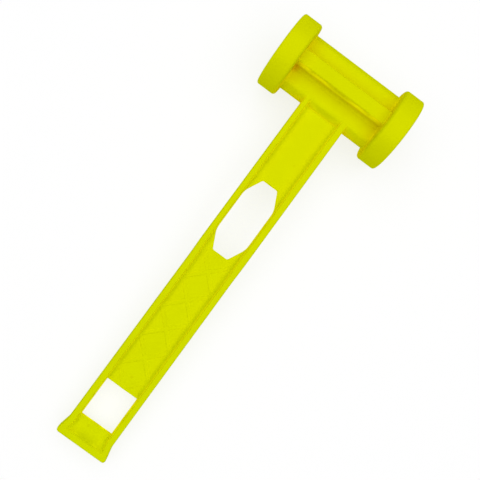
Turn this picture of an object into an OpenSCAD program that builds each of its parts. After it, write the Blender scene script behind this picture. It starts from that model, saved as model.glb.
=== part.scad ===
// One-piece moulded camping mallet, lying at rest: both disc rims and the lower edge of the butt touch z = 0.
// The moulding is divided into its members, each a closed solid that meets its neighbours face to face.
// Members are drawn in the mallet's own plane (head axis along X, handle running down -Y, middle plane at
// z = 0) and then laid down together.

/* [Overall] */
// Length from the top of the head to the end of the butt
overall_l = 300; // [270:1:340]

/* [Head] */
// Distance between the two striking faces
head_l = 94.2; // [86:0.2:110]
// Diameter of the striking discs
disc_d = 52.4; // [50:0.2:60]
// Thickness of each striking disc
disc_t = 14; // [10:0.2:16]
// Rounding of the disc edges
disc_round = 2.4; // [1:0.2:4]
// Width of the crossbar, measured along the handle
crossbar_w = 40.6; // [38:0.2:44]
// Width of the crossbar's flat sides
crossbar_flat_w = 31.6; // [28:0.2:34]
// Width of the rib along the middle of each flat side
rib_w = 8.6; // [6:0.2:12]
// Height of each rib above the middle plane
rib_h = 16.8; // [12:0.2:20]
// Fillet at the foot of each rib
rib_foot_r = 1.5; // [0.5:0.5:3]

/* [Handle] */
// Width over the two flanges
handle_w = 32.4; // [30:0.2:36]
// Depth of the flanges, which is also the thickness of the crossbar
handle_t = 14; // [12:0.2:16]
// Thickness of each flange
flange_t = 4.7; // [3.6:0.1:5.4]
// Thickness of the web between the flanges
web_t = 3.6; // [2.4:0.2:5]

/* [Eye] */
// Distance from the head axis to the near end of the eight-sided eye
eye_start = 75; // [60:0.5:80]
// Length of the eye
eye_l = 54; // [44:0.5:60]
// Width of the two short ends of the eye
eye_end_w = 11.2; // [8:0.2:16]
// Length of the slanted corners, measured along the handle
eye_corner_l = 12; // [6:0.2:16]

/* [Slot] */
// Length of the rectangular slot
slot_l = 27; // [20:0.5:34]
// Distance from the slot to the end of the butt
slot_to_end = 15.4; // [14:0.2:30]

/* [Butt] */
// Width over the flared end of the handle
butt_w = 36; // [36:0.2:42]
// Length over which the handle widens
flare_l = 7.4; // [4:0.2:8]
// Length of the straight stretch after the flare
butt_end_l = 3; // [2:0.2:5]
// Thickness of the wall across the butt
butt_wall_t = 4; // [2.4:0.2:6]

/* [Grip ridges] */
// Width of each raised ridge
ridge_w = 1.6; // [1:0.2:2.4]
// Height of the ridges above the web
ridge_h = 0.6; // [0.4:0.1:1.2]
// Distance between crossings, measured along the handle
ridge_pitch = 22; // [18:0.5:30]
// Distance from the end of the eye to the first crossing on the centre line
ridge_first = 13.4; // [4:0.2:20]

/* [Hidden] */
$fn = 96;

disc_r = disc_d / 2;
inner_x = head_l / 2 - disc_t;            // inner faces of the discs
half_w = crossbar_w / 2;
half_t = handle_t / 2;
flat_y = crossbar_flat_w / 2;
web_x = handle_w / 2 - flange_t;          // inner faces of the flanges

// Distances from the head axis, measured down the handle
butt_y = overall_l - disc_r;
butt_end_y = butt_y - butt_end_l;
flare_y = butt_end_y - flare_l;
wall_y = butt_y - butt_wall_t;
eye_end = eye_start + eye_l;
slot_end = butt_y - slot_to_end;
slot_start = slot_end - slot_l;
spread = (butt_w - handle_w) / 2;         // how far each flange moves out in the flare

// The crossbar's long edges are arcs that run from the edge of the flat side to the full width.
edge_y = (half_w * half_w - flat_y * flat_y - half_t * half_t) / (2 * (half_w - flat_y));
edge_r = half_w - edge_y;

// Lying down, the head axis is disc_r above the floor and the lower edge of the butt touches the floor.
reach = sqrt(butt_y * butt_y + half_t * half_t);
tilt = asin(disc_r / reach) - atan2(half_t, butt_y);
head_to_end = butt_y * cos(tilt) + half_t * sin(tilt);
head_y = (head_to_end - disc_r) / 2;      // puts the middle of the length at y = 0

module lie_down() { translate([0, head_y, disc_r]) rotate([tilt, 0, 0]) children(); }

// Extrudes a shape drawn in the YZ plane along X, between the inner faces of the discs.
module between_discs() {
    rotate([90, 0, 90]) translate([0, 0, -inner_x]) linear_extrude(2 * inner_x) children();
}

module striking_disc() {
    rotate([0, 90, 0]) rotate_extrude() {
        square([disc_r - disc_round, disc_t]);
        translate([0, disc_round]) square([disc_r, disc_t - 2 * disc_round]);
        for (z = [disc_round, disc_t - disc_round])
            translate([disc_r - disc_round, z]) circle(disc_round);
    }
}

module crossbar() {
    between_discs() {
        square([crossbar_flat_w, handle_t], center = true);
        intersection() {
            square([2 * crossbar_w, handle_t], center = true);
            for (side = [-1, 1]) translate([side * edge_y, 0]) circle(edge_r);
        }
    }
}

module head_rib() {
    between_discs() {
        translate([-rib_w / 2, half_t]) square([rib_w, rib_h - half_t]);
        for (side = [0, 1]) mirror([side, 0]) difference() {
            translate([rib_w / 2, half_t]) square(rib_foot_r);
            translate([rib_w / 2 + rib_foot_r, half_t + rib_foot_r]) circle(rib_foot_r);
        }
    }
}

// One long edge of the right-hand flange in plan, from the crossbar's flat side to the end of the butt.
function flange_line(x) = [[x, -flat_y], [x, -flare_y], [x + spread, -butt_end_y], [x + spread, -butt_y]];
function reversed(list) = [for (i = [len(list) - 1 : -1 : 0]) list[i]];
function mirrored(list) = [for (p = list) [-p[0], p[1]]];

module flange() {
    difference() {
        translate([0, 0, -half_t]) linear_extrude(handle_t)
            polygon(concat(flange_line(handle_w / 2), reversed(flange_line(web_x))));
        crossbar();
    }
}

// The whole strip between the flanges in plan.
module strip() {
    polygon(concat(flange_line(web_x), reversed(mirrored(flange_line(web_x)))));
}

// The strip from one distance down the handle to another.
module strip_between(near, far) {
    intersection() {
        strip();
        translate([-butt_w / 2, -far]) square([butt_w, far - near]);
    }
}

// Outline of the eye: eight-sided, with its long sides on the flanges.
module eye() {
    half_end = eye_end_w / 2;
    polygon([[-half_end, -eye_start], [half_end, -eye_start],
             [web_x, -eye_start - eye_corner_l], [web_x, -eye_end + eye_corner_l],
             [half_end, -eye_end], [-half_end, -eye_end],
             [-web_x, -eye_end + eye_corner_l], [-web_x, -eye_start - eye_corner_l]]);
}

module web_plate() { translate([0, 0, -web_t / 2]) linear_extrude(web_t) children(); }

module neck_plate() {
    difference() {
        web_plate() difference() {
            strip_between(flat_y, eye_start + eye_corner_l);
            eye();
        }
        crossbar();
    }
}

module grip_outline() {
    difference() {
        strip_between(eye_end - eye_corner_l, slot_start);
        eye();
    }
}

// Diamond pattern: ridges at 45 degrees both ways, cut off at the flanges, the eye and the slot.
module diamond_ridges() {
    first_y = eye_end + ridge_first;
    crossings = ceil((slot_start - first_y) / ridge_pitch);
    translate([0, 0, web_t / 2]) linear_extrude(ridge_h) intersection() {
        grip_outline();
        for (i = [-1 : crossings], angle = [-45, 45])
            translate([0, -first_y - i * ridge_pitch]) rotate(angle)
                square([2 * handle_w, ridge_w], center = true);
    }
}

module left_striking_disc() { color("yellow") lie_down() translate([-head_l / 2, 0, 0]) striking_disc(); }
module right_striking_disc() { color("yellow") lie_down() translate([inner_x, 0, 0]) striking_disc(); }
module head_crossbar() { color("gold") lie_down() crossbar(); }
module front_head_rib() { color("yellow") lie_down() head_rib(); }
module rear_head_rib() { color("yellow") lie_down() mirror([0, 0, 1]) head_rib(); }
module left_flange() { color("yellow") lie_down() mirror([1, 0, 0]) flange(); }
module right_flange() { color("yellow") lie_down() flange(); }
module neck_web() { color("gold") lie_down() neck_plate(); }
module grip_web() { color("gold") lie_down() web_plate() grip_outline(); }
module butt_web() { color("gold") lie_down() web_plate() strip_between(slot_end, wall_y); }
module butt_wall() {
    color("yellow") lie_down()
        translate([0, 0, -half_t]) linear_extrude(handle_t) strip_between(wall_y, butt_y);
}
module front_grip_ridges() { color("yellow") lie_down() diamond_ridges(); }
module rear_grip_ridges() { color("yellow") lie_down() mirror([0, 0, 1]) diamond_ridges(); }

left_striking_disc();
right_striking_disc();
head_crossbar();
front_head_rib();
rear_head_rib();
left_flange();
right_flange();
neck_web();
grip_web();
butt_web();
butt_wall();
front_grip_ridges();
rear_grip_ridges();
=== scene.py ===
"""One-piece moulded camping mallet.

The filleted plastic skin of each member, the plastic itself, and a plain studio round it.
"""
import math

import bmesh
import bpy
import numpy as np
from mathutils import Euler, Matrix, Vector


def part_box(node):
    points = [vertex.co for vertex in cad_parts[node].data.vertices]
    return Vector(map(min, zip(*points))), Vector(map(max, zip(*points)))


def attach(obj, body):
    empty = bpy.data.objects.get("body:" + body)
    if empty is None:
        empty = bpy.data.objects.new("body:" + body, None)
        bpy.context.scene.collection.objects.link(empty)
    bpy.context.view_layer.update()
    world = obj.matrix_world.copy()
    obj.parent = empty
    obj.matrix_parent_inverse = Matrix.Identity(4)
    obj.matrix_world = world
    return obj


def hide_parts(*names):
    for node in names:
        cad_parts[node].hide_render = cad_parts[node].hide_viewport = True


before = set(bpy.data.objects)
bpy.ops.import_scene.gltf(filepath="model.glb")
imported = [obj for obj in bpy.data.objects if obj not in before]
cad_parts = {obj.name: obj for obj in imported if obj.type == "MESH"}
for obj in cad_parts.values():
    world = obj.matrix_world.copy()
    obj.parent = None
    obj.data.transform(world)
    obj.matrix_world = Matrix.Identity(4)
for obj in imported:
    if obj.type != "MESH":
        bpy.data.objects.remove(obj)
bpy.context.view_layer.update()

# ---------------------------------------------------------------- driving sizes, in millimetres
# The shape is worked out in the mallet's own frame: X along the head, the handle down -Y from the
# head's axis, and Z = 0 on the plane where the two halves of the mould meet.
MM = 0.001

# Head
DISC_R = 26.2          # radius of the striking discs
DISC_INNER_X = 33.1    # their inner faces
DISC_OUTER_X = 47.3    # the striking faces
DISC_ROUND = 2.2       # rounding of the discs' inner edges
DISC_OUTER_ROUND = 1.5  # and of the edges of the striking faces
FACE_CROWN = 0.3       # how far the middle of a striking face stands proud of its edge
NOSE_Y = 12.8          # centre of the crossbar's rounded long edges
NOSE_R = 7.7           # and their radius
CROSSBAR_FLAT_Y = 15.6  # where the handle leaves the crossbar's flat
CROSSBAR_EDGE_R = 0.6  # edge between the flat and the rounded long edge
RIB_HALF_W = 4.7       # half width of a rib at its top
RIB_TOP = 16.8         # its height above the parting plane
RIB_FOOT_R = 2.8       # fillets at its foot
RIB_EDGE_R = 1.2       # rounding of its top edges
RIB_DRAFT = 0.08       # how much each flank leans
DISC_FILLET_R = 1.0    # where the crossbar and the ribs run into the discs
NECK_FILLET_R = 0.8    # where the handle runs into the crossbar

# Handle
HALF_T = 7.0           # half thickness of the handle, and of the crossbar
OUTER_X = 15.85        # outer faces of the flanges along the grip
INNER_X = 11.2         # inner faces of the flanges, at the parting plane
OUTER_DRAFT = 0.02     # how much the outer faces lean
INNER_DRAFT = 0.12     # and the inner faces
NECK_Y = -140          # where the handle starts to widen towards the neck
NECK_RAMP = 15         # over what length it does
NECK_WIDER = 0.25      # how much further out each side stands along the neck
NECK_SHIFT = 0.4       # how far the pocket sits off the middle there
WEB_HALF_T = 1.8       # half thickness of the web
WEB_FILLET_R = 0.6     # fillet between web and flange at the openings
WEB_FILLET_MORE = 2.0  # how much larger it is away from them
WEB_FILLET_REACH = 4   # and over what distance it grows
FILLET_FADE = 1.2      # depth over which fillets die out below the flanges' tops
FLANGE_EDGE_R = 0.5    # outer edges of the flanges
LIP_EDGE_R = 0.45      # inner edges of the flanges
POCKET_CORNER_R = 1.2  # corners of the pocket, in plan
OPENING_EDGE_R = 0.3   # edges of the web at the eye and the slot

# Butt
BUTT_Y = -273.8        # outer face of the butt wall
WALL_Y = -270.6        # its inner face, behind the scoop
BUTT_CORNER_R = 2.0    # corners of the butt, in plan
SCOOP_Y = -261.6       # where the web starts to curve up to the butt wall
SCOOP_R = 9.0          # radius of that curve
FLARE_Y = -263.6       # where the handle starts to widen towards the butt
FLARE_SLOPE = 0.22     # how fast each side moves out

# Eye and slot
EYE_X = -0.4           # middle of the eye
EYE_Y = -102.0
EYE_HALF_L = 27.0
EYE_HALF_W = 11.9
EYE_END_X = 5.6        # half width of its short ends
EYE_SLANT = (5.9, 12.0)  # how far each slanted side runs, in X and in Y
EYE_SIDE_R = 1.8       # rounding between a long side and a slanted one
EYE_END_R = 0.8        # and between a slanted side and a short end
SLOT_Y = -244.8        # middle of the slot
SLOT_HALF_L = 13.35
SLOT_OVERLAP = 0.8     # how far the slot's cut runs into the flanges' feet

# Crossed ridges on the grip
RIDGE_PITCH = 22.0     # between crossings, along the handle
RIDGE_Y = -142.4       # first crossing
RIDGE_TOP_Y = -130.2   # where the ridges end, below the eye
RIDGE_SIDE_X = 11      # and where they end beside the flanges
RIDGE_W = 2.2
RIDGE_H = 0.3
RIDGE_RAMP = 0.7       # width of each sloping side of a ridge
RIDGE_END_RAMP = 0.8   # length over which a ridge dies out

# Parting line: the raised flash that the mould leaves
FLASH_H = 0.05         # its height
FLASH_W = 0.2          # and how wide it spreads to each side
FLASH_TURN = 0.03      # radians to each side of it that a disc's mesh is fine for

# Marks in the plastic, and one painted shade: place, radius, and tint in red and green. Three are flow marks
# in the web, and the last is painted shade in the corner where the left disc, the crossbar and a rib meet.
MOULD_MARKS_AND_SHADE = (((4.4, -56, 1.8), 1.4, (0.96, 0.94)),
               ((0.5, -222.3, 1.8), 1.5, (0.94, 0.9)),
               ((-3.4, -261.8, 1.8), 1.4, (0.95, 0.92)),
               ((-32.6, -6.2, 8.2), 4.6, (0.97, 0.74)))
MARK_CORE = 0.2        # share of a mark's radius that has its full tint

# Where one member ends and the next begins
NECK_CUT = -21.6       # crossbar and handle
FLANGE_CUT = 10.3      # flanges and webs
BUTT_CUT = -269.4      # webs and butt wall
DISC_CUT = 33.06       # crossbar and discs
RIB_CUT = 7.02         # crossbar and ribs
RIB_SKIRT = 7.6        # half width of a rib with the fillets at its foot
DISC_PUSH = 0.2        # how far the head's members reach into the discs
RIB_PUSH = 0.15        # how far a rib reaches into the crossbar


# ---------------------------------------------------------------- distances
def join(a, b, radius):
    """Distance to both shapes together, with a fillet where they meet."""
    corner = np.hypot(np.maximum(radius - a, 0), np.maximum(radius - b, 0))
    return np.maximum(radius, np.minimum(a, b)) - corner


def common(a, b, radius):
    """Distance to what two shapes share, with the edge between them rounded."""
    corner = np.hypot(np.maximum(radius + a, 0), np.maximum(radius + b, 0))
    return np.minimum(-radius, np.maximum(a, b)) + corner


def ramp(t):
    """Rises smoothly from 0 to 1 as t does."""
    t = np.clip(t, 0, 1)
    return t * t * (3 - 2 * t)


def in_neck(y):
    """Rises from 0 along the grip to 1 along the neck."""
    return ramp((y - NECK_Y) / NECK_RAMP)


def flare(y):
    """How far each side of the handle stands out at y, beyond its place along the grip."""
    past = FLARE_Y - y
    return FLARE_SLOPE * (past + np.hypot(past, 1)) / 2 + NECK_WIDER * in_neck(y)


def ridges(x, y):
    """Height of the grip's crossed ridges above the web."""
    def bar(along):
        off = np.abs((along + RIDGE_PITCH / 2) % RIDGE_PITCH - RIDGE_PITCH / 2) / math.sqrt(2)
        return ramp((RIDGE_W / 2 + RIDGE_RAMP / 2 - off) / RIDGE_RAMP)

    one = bar(y - RIDGE_Y + x)
    other = bar(y - RIDGE_Y - x)
    below_eye = ramp((RIDGE_TOP_Y - y) / RIDGE_END_RAMP)
    between_flanges = ramp((RIDGE_SIDE_X - np.abs(x)) / RIDGE_END_RAMP)
    return RIDGE_H * (one + other - one * other) * (below_eye * between_flanges * (y > SLOT_Y))


def openings(x, y):
    """Distance in plan to the eye and the slot, below zero inside them."""
    across = np.abs(x - EYE_X)
    along = np.abs(y - EYE_Y)
    run = math.hypot(*EYE_SLANT)
    slant = ((across - EYE_END_X) * EYE_SLANT[1] + (along - EYE_HALF_L) * EYE_SLANT[0]) / run
    eye = common(common(slant, across - EYE_HALF_W, EYE_SIDE_R), along - EYE_HALF_L, EYE_END_R)
    slot = np.maximum(np.abs(y - SLOT_Y) - SLOT_HALF_L, np.abs(x) - INNER_X - SLOT_OVERLAP)
    return np.minimum(eye, slot)


def fade_at_top(height):
    """Share of a fillet's radius that is left at this height, down to almost none at the flanges' tops."""
    return np.clip((HALF_T - height) / FILLET_FADE, 0.02, 1)


def handle(x, y, z):
    """The handle: two flanges and a butt wall round a web that is open at the eye and the slot."""
    across, height = np.abs(x), np.abs(z)
    widened = flare(y)
    neck = in_neck(y)
    side = across - OUTER_X - widened + OUTER_DRAFT * height
    end = BUTT_Y - y + OUTER_DRAFT * height
    outline = common(side, end, BUTT_CORNER_R)
    block = common(outline, height - HALF_T, FLANGE_EDGE_R)
    pocket_side = np.abs(x + NECK_SHIFT * neck) - INNER_X - widened - INNER_DRAFT * height
    rim = common(block, -common(pocket_side, WALL_Y - y, POCKET_CORNER_R), LIP_EDGE_R)
    hole = openings(x, y)
    rise = height - WEB_HALF_T - ridges(x, y)
    scooped = SCOOP_R - np.hypot(np.minimum(y - SCOOP_Y, 0), np.minimum(rise - SCOOP_R, 0))
    web = common(common(scooped, -hole, OPENING_EDGE_R), height - HALF_T, LIP_EDGE_R)
    web = np.maximum(web, outline + 1.0)
    fillet = (WEB_FILLET_R + WEB_FILLET_MORE * ramp(hole / WEB_FILLET_REACH)) * fade_at_top(height)
    return np.maximum(join(rim, web, fillet), y + CROSSBAR_FLAT_Y)


def crossbar(y, z):
    """The flat bar with rounded long edges that joins the discs."""
    nose = np.hypot(np.maximum(np.abs(y) - NOSE_Y, 0), z) - NOSE_R
    return common(nose, np.abs(z) - HALF_T, CROSSBAR_EDGE_R)


def rib(y, z):
    """The stiffening rib down the middle of the crossbar, on both sides of it."""
    side = np.abs(y) - RIB_HALF_W + RIB_DRAFT * (np.abs(z) - RIB_TOP)
    return common(side, np.abs(z) - RIB_TOP, RIB_EDGE_R)


def with_handle(head, x, y, z):
    """Joins the handle to the head, with the raised parting line all round."""
    skin = join(head, handle(x, y, z), NECK_FILLET_R * fade_at_top(np.abs(z)))
    return skin - FLASH_H * np.exp(-((z / FLASH_W) ** 2))


def skin_without_ribs(x, y, z):
    """The mallet's moulded skin between the discs, without the ribs."""
    head = join(crossbar(y, z), DISC_INNER_X - np.abs(x), DISC_FILLET_R)
    return with_handle(head, x, y, z)


def skin_with_ribs(x, y, z):
    """The mallet's moulded skin between the discs."""
    ribbed = join(crossbar(y, z), rib(y, z), RIB_FOOT_R)
    head = join(ribbed, DISC_INNER_X - np.abs(x), DISC_FILLET_R)
    return with_handle(head, x, y, z)


def whole(x, y, z):
    """The mallet with its discs, for working out how much plastic lies near a point."""
    disc_x = (DISC_INNER_X + DISC_OUTER_X) / 2
    disc_half_t = (DISC_OUTER_X - DISC_INNER_X) / 2
    disc = common(np.hypot(y, z) - DISC_R, np.abs(np.abs(x) - disc_x) - disc_half_t, DISC_ROUND)
    bar = join(crossbar(y, z), rib(y, z), RIB_FOOT_R)
    bar = np.maximum(bar, np.abs(x) - DISC_INNER_X)
    return np.minimum(np.minimum(disc, bar), handle(x, y, z))


def slope(distance, points):
    """Unit gradient of the distance at each point."""
    step = 0.02
    columns = []
    for axis in range(3):
        shift = np.zeros(3)
        shift[axis] = step
        columns.append(distance(*(points + shift).T) - distance(*(points - shift).T))
    grad = np.stack(columns, 1)
    return grad / np.maximum(np.linalg.norm(grad, axis=1, keepdims=True), 1e-9)


# ---------------------------------------------------------------- skins
def lines(*stretches):
    """Grid lines over stretches of (start, end, spacing)."""
    found = [np.linspace(a, b, max(2, round(abs(b - a) / s) + 1)) for a, b, s in stretches]
    return np.unique(np.round(np.concatenate(found), 4))


def both(found):
    """Grid lines mirrored to both sides of zero."""
    return np.unique(np.concatenate([-found, found]))


def net(distance, grid_lines):
    """Vertices and quads of the surface where the distance is zero: a vertex in each cell it crosses."""
    xs, ys, zs = grid_lines
    value = distance(*np.meshgrid(xs, ys, zs, indexing="ij"))
    inside = value < 0
    corners = [(i, j, k) for i in (0, 1) for j in (0, 1) for k in (0, 1)]
    size = np.array(value.shape) - 1

    def at(field, cell, corner):
        return field[cell[0] + corner[0], cell[1] + corner[1], cell[2] + corner[2]]

    every = np.indices(size).reshape(3, -1)
    count = sum(at(inside, every, c).astype(int) for c in corners)
    cell = every[:, (count > 0) & (count < 8)]
    number = np.full(size, -1)
    number[tuple(cell)] = np.arange(cell.shape[1])

    total = np.zeros((cell.shape[1], 3))
    hits = np.zeros(cell.shape[1])
    for a in corners:
        for b in corners:
            if sum(b) - sum(a) != 1 or any(q < p for p, q in zip(a, b)):
                continue
            start, stop = at(value, cell, a), at(value, cell, b)
            crossed = (start < 0) != (stop < 0)
            t = np.where(crossed, start / np.where(crossed, start - stop, 1), 0)
            ends = [np.stack([ls[cell[n] + c[n]] for n, ls in enumerate(grid_lines)], 1) for c in (a, b)]
            total += crossed[:, None] * (ends[0] + t[:, None] * (ends[1] - ends[0]))
            hits += crossed
    points = total / hits[:, None]
    for _ in range(4):
        points -= distance(*points.T)[:, None] * slope(distance, points)

    quads = []
    for axis in range(3):
        u, v = (axis + 1) % 3, (axis + 2) % 3
        low = [slice(1, -1)] * 3
        low[axis] = slice(0, -1)
        high = list(low)
        high[axis] = slice(1, None)
        flips = inside[tuple(low)] != inside[tuple(high)]
        crossing = np.stack(np.nonzero(flips))
        crossing[u] += 1
        crossing[v] += 1
        starts_inside = inside[tuple(crossing)]
        ring = []
        for du, dv in ((0, 0), (1, 0), (1, 1), (0, 1)):
            beside = crossing.copy()
            beside[u] -= du
            beside[v] -= dv
            ring.append(number[tuple(beside)])
        ring = np.stack(ring, 1)
        quads.append(np.where(starts_inside[:, None], ring, ring[:, ::-1]))
    return points, np.concatenate(quads)


def trim(bm, planes):
    """Cuts the mesh at each plane (point, outward normal, push), closes it and pushes the cap outward."""
    for point, normal, push in planes:
        everything = bm.verts[:] + bm.edges[:] + bm.faces[:]
        cut = bmesh.ops.bisect_plane(bm, geom=everything, plane_co=point, plane_no=normal,
                                     clear_outer=True, dist=1e-5)
        rim = [g for g in cut["geom_cut"] if isinstance(g, bmesh.types.BMEdge)]
        bmesh.ops.triangle_fill(bm, edges=rim, use_beauty=True, normal=normal)
        for vert in {v for edge in rim for v in edge.verts}:
            vert.co += Vector(normal) * push


def shade_by_shape(mesh, distance, planes):
    """Sets each corner's normal from the exact shape, and keeps the closing caps flat."""
    points = np.empty(len(mesh.vertices) * 3)
    mesh.vertices.foreach_get("co", points)
    points = points.reshape(-1, 3)
    normals = slope(distance, points)
    corner_vertex = np.empty(len(mesh.loops), int)
    mesh.loops.foreach_get("vertex_index", corner_vertex)
    corner_normals = normals[corner_vertex]
    for face in mesh.polygons:
        face.use_smooth = True
        for point, normal, push in planes:
            if abs((face.center - Vector(point)).dot(Vector(normal)) - push) < 1e-3:
                corner_normals[face.loop_start:face.loop_start + face.loop_total] = face.normal
    return corner_normals


def note_painted_light(mesh):
    """Stores on each vertex, from 0 to 1, the masks for the light and shade painted into the plastic's
    colour.
    """
    points = np.empty(len(mesh.vertices) * 3)
    mesh.vertices.foreach_get("co", points)
    points = points.reshape(-1, 3)
    out = slope(whole, points)
    across, beside, height = np.abs(points).T
    upright = 1 - np.abs(out[:, 2])

    def crowded(*reaches):
        """How closely other plastic faces the surface, looking this far out from it."""
        return sum(np.clip(1 - whole(*(points + out * r).T) / r, 0, 1) for r in reaches) / len(reaches)

    # The flanks of the ribs: painted shade at their foot, and painted light on the part near their top
    between_discs = ramp((DISC_INNER_X - 0.5 - across) / 1.5)
    beside_rib = np.exp(-((beside - RIB_HALF_W) / 3) ** 2)
    foot_height = ramp((RIB_TOP - 3.8 - height) / 4) * ramp((height - HALF_T + 2) / 2)
    rib_foot_shade = beside_rib * foot_height * between_discs
    rib_top_light = ramp((height - HALF_T - 3) / 5) * upright * between_discs

    # Painted light on upright walls that face other plastic, weaker in these places
    painted_wall_light = np.clip(3 * crowded(10.0, 14.0), 0, 1) * upright
    low_down = 1 - 0.9 * crowded(5.0, 7.0)
    at_rib_foot = 1 - 0.75 * rib_foot_shade
    on_discs = 0.2 + 0.8 * between_discs
    outside_flanges = 1 - 0.8 * ramp((across - 14) / 1.5) * ramp((HALF_T + 0.4 - height) / 0.6)
    wall = painted_wall_light * low_down * at_rib_foot * on_discs * outside_flanges

    # Masks for the painted light and shade: corners, walls, thin parts and rib tops are painted lighter;
    # crowded places and rib feet are painted darker in green
    noted = {
        "corner": np.clip(1.4 * crowded(1.5, 3.0, 6.0), 0, 1) * (1 - 0.6 * wall),
        "hemmed_in": crowded(12.0, 20.0),
        "tall": np.clip(crowded(20.0, 28.0) / 0.4 - 1.05, 0, 1),
        "wall": wall,
        "thin": ramp((1.5 + whole(*(points - out * 5.0).T)) / 2.0),
        "rib_foot_shade": rib_foot_shade,
        "rib_top_light": rib_top_light,
    }
    for name, values in noted.items():
        layer = mesh.attributes.new(name, "FLOAT", "POINT")
        layer.data.foreach_set("value", values.astype(np.float32))


def lying_down():
    """Where the mallet lies: its head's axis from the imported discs, its tilt from the rest on the butt."""
    low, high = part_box("left_striking_disc")
    middle = (Vector(low) + Vector(high)) / 2
    reach = math.hypot(BUTT_Y, HALF_T)
    tilt = math.asin(DISC_R / reach) - math.asin(HALF_T / reach)
    return Matrix.Translation((0, middle.y, middle.z)) @ Matrix.Rotation(tilt, 4, "X")


def place(mesh, name, nodes, corner_normals=None):
    """Lays the finished mesh down where the mallet lies and lets it stand for its CAD nodes."""
    # Masks for the painted light and shade in the plastic's colour
    note_painted_light(mesh)
    lie = lying_down()
    mesh.transform(lie @ Matrix.Scale(MM, 4))
    if corner_normals is not None:
        turned = corner_normals @ np.array(lie.to_3x3()).T
        mesh.normals_split_custom_set(turned.tolist())
    mesh.materials.append(plastic)
    piece = bpy.data.objects.new(name, mesh)
    bpy.context.scene.collection.objects.link(piece)
    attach(piece, "root")
    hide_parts(*nodes)


def moulded(name, nodes, distance, grid_lines, planes):
    """One member of the moulding, cut out of the mallet's skin by its planes."""
    points, quads = net(distance, grid_lines)
    mesh = bpy.data.meshes.new(name)
    mesh.from_pydata(points.tolist(), [], quads.tolist())
    bm = bmesh.new()
    bm.from_mesh(mesh)
    trim(bm, planes)
    bm.to_mesh(mesh)
    bm.free()
    place(mesh, name, nodes, shade_by_shape(mesh, distance, planes))


def disc_profile():
    """A striking disc's outline, from the middle of its inner face to the middle of its striking face."""
    inner_r = DISC_R - DISC_ROUND
    outer_r = DISC_R - DISC_OUTER_ROUND
    outer_x = DISC_OUTER_X - FACE_CROWN - DISC_OUTER_ROUND
    rounding = np.linspace(0, math.pi / 2, 9)[1:]
    profile = [(DISC_INNER_X, r) for r in np.linspace(0, inner_r, 20)]
    for a in rounding:
        profile.append((DISC_INNER_X + DISC_ROUND * (1 - math.cos(a)), inner_r + DISC_ROUND * math.sin(a)))
    for x in np.linspace(DISC_INNER_X + DISC_ROUND, outer_x, 11)[1:]:
        profile.append((x, DISC_R))
    for a in rounding:
        profile.append((outer_x + DISC_OUTER_ROUND * math.sin(a), outer_r + DISC_OUTER_ROUND * math.cos(a)))
    for r in np.linspace(outer_r, 0, 16)[1:]:
        profile.append((DISC_OUTER_X - FACE_CROWN * (r / outer_r) ** 2, r))
    return profile


def disc_turns():
    """Angles round a disc, close together at the parting line."""
    quarter = np.concatenate([np.linspace(0, FLASH_TURN, 5), np.linspace(FLASH_TURN, math.pi / 2, 40)[1:]])
    half = np.concatenate([quarter, math.pi - quarter[::-1][1:]])
    return np.concatenate([half, half[1:-1] + math.pi])


def disc(name, side):
    """A striking disc, turned from its rounded profile, with the parting line across its rim."""
    turns = disc_turns()
    mesh = bpy.data.meshes.new(name)
    bm = bmesh.new()
    rings = []
    for x, r in disc_profile():
        if r == 0:
            rings.append([bm.verts.new((side * x, 0, 0))])
            continue
        ring = []
        for t in turns:
            flash = FLASH_H * math.exp(-((r * math.sin(t) / FLASH_W) ** 2)) if r > DISC_R - 1 else 0
            ring.append(bm.verts.new((side * x, (r + flash) * math.cos(t), (r + flash) * math.sin(t))))
        rings.append(ring)
    for near, far in zip(rings, rings[1:]):
        for n in range(len(turns)):
            m = (n + 1) % len(turns)
            face = [near[n % len(near)], near[m % len(near)], far[m % len(far)], far[n % len(far)]]
            face = list(dict.fromkeys(face))
            bm.faces.new(face if side < 0 else face[::-1])
    for face in bm.faces:
        face.smooth = True
    bmesh.ops.recalc_face_normals(bm, faces=bm.faces)
    bm.to_mesh(mesh)
    bm.free()
    place(mesh, name, [name])


# ---------------------------------------------------------------- material
def node(tree, kind, **values):
    """Adds a shader node with its properties and inputs set."""
    made = tree.nodes.new(kind)
    for key, value in values.items():
        if key in made.inputs:
            made.inputs[key].default_value = value
        else:
            setattr(made, key, value)
    return made


def tinted(tree, colour, tint, amount):
    """Multiplies a colour by a tint in red and green, as far as the amount says."""
    mix = node(tree, "ShaderNodeMix", data_type="RGBA", blend_type="MULTIPLY")
    mix.inputs[7].default_value = (*tint, 0, 1)
    tree.links.new(amount, mix.inputs["Factor"])
    tree.links.new(colour, mix.inputs[6])
    return mix.outputs[2]


def faded(tree, value, ends, levels, how="LINEAR"):
    """Goes from one level to the other as the value goes from one end to the other."""
    fade = node(tree, "ShaderNodeMapRange", interpolation_type=how)
    for name, number in zip(("From Min", "From Max", "To Min", "To Max"), (*ends, *levels)):
        fade.inputs[name].default_value = number
    tree.links.new(value, fade.inputs["Value"])
    return fade.outputs["Result"]


def tinted_with_painted_light(tree, colour):
    """Paints light and shade into the plastic's colour, from the masks stored on each vertex."""
    for name, tint, power in PAINTED_LIGHT_TINTS:
        where = node(tree, "ShaderNodeAttribute", attribute_name=name)
        amount = node(tree, "ShaderNodeMath", operation="POWER")
        amount.inputs[1].default_value = power
        tree.links.new(where.outputs["Fac"], amount.inputs[0])
        colour = tinted(tree, colour, tint, amount.outputs["Value"])
    return colour


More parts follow.
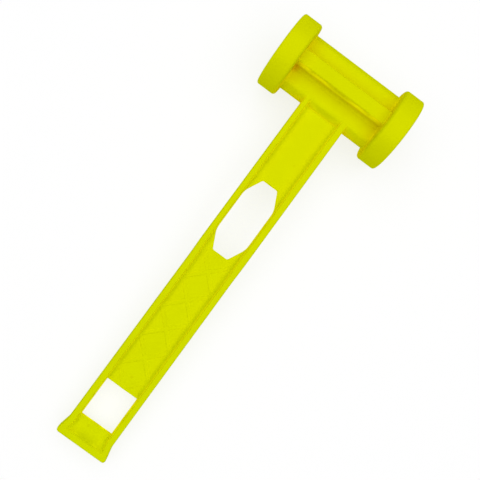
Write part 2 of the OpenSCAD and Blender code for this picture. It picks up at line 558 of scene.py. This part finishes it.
def tinted_by_marks_and_shade(tree, colour, place_in):
    """Adds the small flow marks, and the painted shade in a corner of the head."""
    for spot, radius, tint in MOULD_MARKS_AND_SHADE:
        away = node(tree, "ShaderNodeVectorMath", operation="DISTANCE")
        away.inputs[1].default_value = lying_down() @ (Vector(spot) * MM)
        tree.links.new(place_in, away.inputs[0])
        reach = (MARK_CORE * radius * MM, radius * MM)
        near = faded(tree, away.outputs["Value"], reach, (1, 0), "SMOOTHSTEP")
        colour = tinted(tree, colour, tint, near)
    return colour


# The plastic's two tones in red and green, from the darker to the lighter parts of its mottling
TONES = ((0.585, 0.624), (0.605, 0.651))
# Painted light and shade in red and green: where, tint at full strength, power of the amount
PAINTED_LIGHT_TINTS = (("corner", (1.12, 1.08), 1.5), ("hemmed_in", (1.04, 0.95), 1.0),
               ("tall", (1.12, 1.04), 1.0), ("wall", (1.53, 1.52), 1.0),
               ("thin", (1.02, 1.02), 1.0), ("rib_foot_shade", (1.0, 0.905), 1.0),
               ("rib_top_light", (1.16, 1.07), 1.0))
GREENER_FROM_TO = (-0.14, 0.09)     # metres in Y, over which the colour goes from greener at the butt end to unchanged towards the head
GREENER_TINT = (0.95, 0.995)
ROUGHNESS_FROM_TO = (0.38, 0.54)


def moulded_plastic():
    """Fluorescent yellow polyethylene with a satin finish."""
    made = bpy.data.materials.new("moulded_plastic")
    made.use_nodes = True
    tree = made.node_tree
    link = tree.links.new
    shader = tree.nodes["Principled BSDF"]
    shader.inputs["Specular IOR Level"].default_value = 0.0
    shader.inputs["Specular Tint"].default_value = (1, 1, 0, 1)
    shader.inputs["Metallic"].default_value = 0.07
    place_in = node(tree, "ShaderNodeTexCoord").outputs["Object"]

    mottle = node(tree, "ShaderNodeTexNoise", Scale=70, Detail=3, Roughness=0.55)
    link(place_in, mottle.inputs["Vector"])
    tone = node(tree, "ShaderNodeValToRGB")
    for stop, position, shade in zip(tone.color_ramp.elements, (0.3, 0.7), TONES):
        stop.position = position
        stop.color = (*shade, 0, 1)
    link(mottle.outputs["Fac"], tone.inputs["Fac"])
    # Painted light and shade on corners, walls and the ribs' flanks
    colour = tinted_with_painted_light(tree, tone.outputs["Color"])
    along = node(tree, "ShaderNodeSeparateXYZ")
    link(place_in, along.inputs["Vector"])
    towards_butt = faded(tree, along.outputs["Y"], GREENER_FROM_TO, (1, 0))
    colour = tinted(tree, colour, GREENER_TINT, towards_butt)
    # The flow marks, and the painted shade in a corner of the head
    link(tinted_by_marks_and_shade(tree, colour, place_in), shader.inputs["Base Color"])

    link(faded(tree, mottle.outputs["Fac"], (0, 1), ROUGHNESS_FROM_TO), shader.inputs["Roughness"])
    satin = node(tree, "ShaderNodeTexNoise", Scale=900, Detail=2, Roughness=0.5)
    link(place_in, satin.inputs["Vector"])
    bump = node(tree, "ShaderNodeBump", Strength=0.12, Distance=0.0004)
    link(satin.outputs["Fac"], bump.inputs["Height"])
    link(bump.outputs["Normal"], shader.inputs["Normal"])
    return made


# ---------------------------------------------------------------- pieces
# Stretches of grid lines that several members share, closest together where the shape turns tightest
AT_PARTING_LINE = (0, 0.5, 0.12)
AT_FLANGE_TOP = (6.2, 7.3, 0.2)
AT_DISCS = ((29, 31.8, 0.7), (31.8, 33.6, 0.2))
AT_SCOOP = ((-271, -262, 0.4), (-262, -259.6, 0.8))
X, Y, Z = 0, 1, 2


def cut(axis, place_at, outward, push=0):
    """A plane across an axis for trim: where it is, which side it cuts away, how far its cap is pushed."""
    point, normal = [0, 0, 0], [0, 0, 0]
    point[axis] = place_at
    normal[axis] = outward
    return point, normal, push


def build_head():
    """The crossbar and its two ribs, between the discs."""
    at_discs = [cut(X, side * DISC_CUT, side, DISC_PUSH) for side in (1, -1)]
    xs = both(lines((0, 9, 1.5), (9, 18.5, 0.4), (18.5, 29, 1.5), *AT_DISCS))
    ys = lines((-22.8, -14.4, 0.4), (-14.4, 14.4, 1.6), (14.4, 22, 0.4))
    zs = both(lines(AT_PARTING_LINE, (0.5, 1.4, 0.45), (1.4, 3.2, 0.3), (3.2, 6, 0.6), (6, 8.4, 0.2)))
    moulded("head_crossbar", ["head_crossbar"], skin_without_ribs, (xs, ys, zs),
            at_discs + [cut(Y, NECK_CUT, -1)])
    xs = both(lines((0, 29, 3), *AT_DISCS))
    ys = both(lines((0, 2.6, 0.9), (2.6, 9.2, 0.22)))
    at_flanks = [cut(Y, side * RIB_SKIRT, side) for side in (1, -1)]
    for name, side in (("front_head_rib", 1), ("rear_head_rib", -1)):
        zs = np.sort(side * lines((6.6, 9.2, 0.2), (9.2, 14.8, 0.8), (14.8, 18.2, 0.2)))
        moulded(name, [name], skin_with_ribs, (xs, ys, zs),
                [cut(Z, side * RIB_CUT, -side, RIB_PUSH)] + at_discs + at_flanks)


def build_flanges():
    """The two edge flanges of the handle."""
    ys = lines(*AT_SCOOP, (-259.6, -257, 0.25), (-257, -233, 4), (-233, -230, 0.25), (-230, -122, 4),
               (-122, -110, 0.5), (-110, -94, 3), (-94, -82, 0.5), (-82, -25, 4), (-25, -20, 0.4))
    zs = both(lines(AT_PARTING_LINE, (0.5, 1.3, 0.4), (1.3, 4, 0.3), (4, 6.2, 0.75), AT_FLANGE_TOP))
    for name, side in (("left_flange", -1), ("right_flange", 1)):
        xs = np.sort(side * lines((9.8, 18.6, 0.26)))
        moulded(name, [name], skin_with_ribs, (xs, ys, zs),
                [cut(X, side * FLANGE_CUT, -side), cut(Y, NECK_CUT, 1), cut(Y, BUTT_CUT, -1)])


def build_webs():
    """The three web panels between the flanges, divided at the eye and the slot."""
    at_flanges = [cut(X, side * FLANGE_CUT, side) for side in (1, -1)]
    zs = both(lines(AT_PARTING_LINE, (0.5, 1.3, 0.4), (1.3, 2.1, 0.13), (2.1, 6.4, 0.35)))
    xs = both(lines((0, 4, 1), (4, 10.9, 0.3)))
    ys = lines((-91, -74, 0.3), (-74, -24, 3), (-24, -20, 0.35))
    moulded("neck_web", ["neck_web"], skin_with_ribs, (xs, ys, zs),
            at_flanges + [cut(Y, NECK_CUT, 1), cut(Y, EYE_Y, -1)])
    xs = both(lines((0, 10.8, 0.3)))
    ys = lines((-232.5, -113, 0.3))
    moulded("grip_web", ["grip_web", "front_grip_ridges", "rear_grip_ridges"], skin_with_ribs,
            (xs, ys, zs), at_flanges + [cut(Y, EYE_Y, 1), cut(Y, SLOT_Y, -1)])
    xs = both(lines((0, 8, 1), (8, 11, 0.3)))
    ys = lines(*AT_SCOOP, (-259.6, -257.4, 0.15))
    moulded("butt_web", ["butt_web"], skin_with_ribs, (xs, ys, zs),
            at_flanges + [cut(Y, SLOT_Y, 1), cut(Y, BUTT_CUT, -1)])


def build_butt_wall():
    """The wall across the end of the handle."""
    xs = both(lines((0, 10, 1.5), (10, 18.6, 0.3)))
    ys = lines((-274.2, -268.8, 0.25))
    zs = both(lines(AT_PARTING_LINE, (0.5, 6.2, 0.5), AT_FLANGE_TOP))
    moulded("butt_wall", ["butt_wall"], skin_with_ribs, (xs, ys, zs), [cut(Y, BUTT_CUT, 1)])


# ---------------------------------------------------------------- studio
CAMERA_PLACE = (-0.01398, -0.05075, 0.46777)   # metres, above the middle of the handle
CAMERA_TURN = (4.829, -6.410, 36.025)          # degrees: nearly straight down, and rolled
CAMERA_LENS = 54.0
FLOOR_HALF = 40.0      # metres
FLOOR_GREY = 0.22      # how much of the light that falls on the floor it gives back
FLOOR_GLOW = 0.76      # what it adds, so that it stays pale where the mallet shades it
DOME_LEVEL = 0.40      # brightness of the dome overhead
HORIZON_LEVEL = 0.86   # and at the horizon
HORIZON_HEIGHT = 0.12  # how far up the horizon's brightness reaches, as a share of the dome's radius
KEY_LEVEL = 1.315      # how bright the overhead light's panel is
KEY_SIZE = 2.4         # metres
KEY_DISTANCE = 1.3     # metres
KEY_LEAN = 2           # degrees from overhead, towards the head


def build_camera():
    """A camera above the handle, at the photograph's angle."""
    data = bpy.data.cameras.new("camera")
    data.lens = CAMERA_LENS
    data.clip_start, data.clip_end = 0.01, 100
    camera = bpy.data.objects.new("camera", data)
    bpy.context.scene.collection.objects.link(camera)
    camera.location = CAMERA_PLACE
    camera.rotation_euler = Euler([math.radians(a) for a in CAMERA_TURN], "XYZ")
    bpy.context.scene.camera = camera


def build_floor():
    """A plain white floor under the mallet."""
    mesh = bpy.data.meshes.new("floor")
    corners = [(x * FLOOR_HALF, y * FLOOR_HALF, 0) for x, y in ((-1, -1), (1, -1), (1, 1), (-1, 1))]
    mesh.from_pydata(corners, [], [(0, 1, 2, 3)])
    floor = bpy.data.objects.new("floor", mesh)
    bpy.context.scene.collection.objects.link(floor)
    paper = bpy.data.materials.new("floor_paper")
    paper.use_nodes = True
    shader = paper.node_tree.nodes["Principled BSDF"]
    shader.inputs["Base Color"].default_value = (FLOOR_GREY, FLOOR_GREY, FLOOR_GREY, 1)
    shader.inputs["Emission Color"].default_value = (1, 1, 1, 1)
    shader.inputs["Emission Strength"].default_value = FLOOR_GLOW
    shader.inputs["Roughness"].default_value = 0.9
    shader.inputs["Specular IOR Level"].default_value = 0.1
    mesh.materials.append(paper)


def build_lights():
    """A white dome, brighter at the horizon, and one large soft light overhead."""
    world = bpy.data.worlds.new("dome")
    world.use_nodes = True
    tree = world.node_tree
    around = node(tree, "ShaderNodeTexCoord")
    split = node(tree, "ShaderNodeSeparateXYZ")
    tree.links.new(around.outputs["Generated"], split.inputs["Vector"])
    level = faded(tree, split.outputs["Z"], (0, HORIZON_HEIGHT), (HORIZON_LEVEL, DOME_LEVEL), "SMOOTHSTEP")
    tree.links.new(level, tree.nodes["Background"].inputs["Strength"])
    tree.nodes["Background"].inputs["Color"].default_value = (1, 1, 1, 1)
    bpy.context.scene.world = world
    data = bpy.data.lights.new("key", "AREA")
    data.size = KEY_SIZE
    data.energy = KEY_LEVEL * math.pi * KEY_SIZE ** 2
    key = bpy.data.objects.new("key", data)
    bpy.context.scene.collection.objects.link(key)
    lean = math.radians(KEY_LEAN)
    key.location = (0, KEY_DISTANCE * math.sin(lean), KEY_DISTANCE * math.cos(lean))
    key.rotation_euler = (-lean, 0, 0)


build_camera()
plastic = moulded_plastic()
disc("left_striking_disc", -1)
disc("right_striking_disc", 1)
build_head()
build_flanges()
build_webs()
build_butt_wall()
build_floor()
build_lights()
bpy.context.scene.view_settings.view_transform = "Standard"
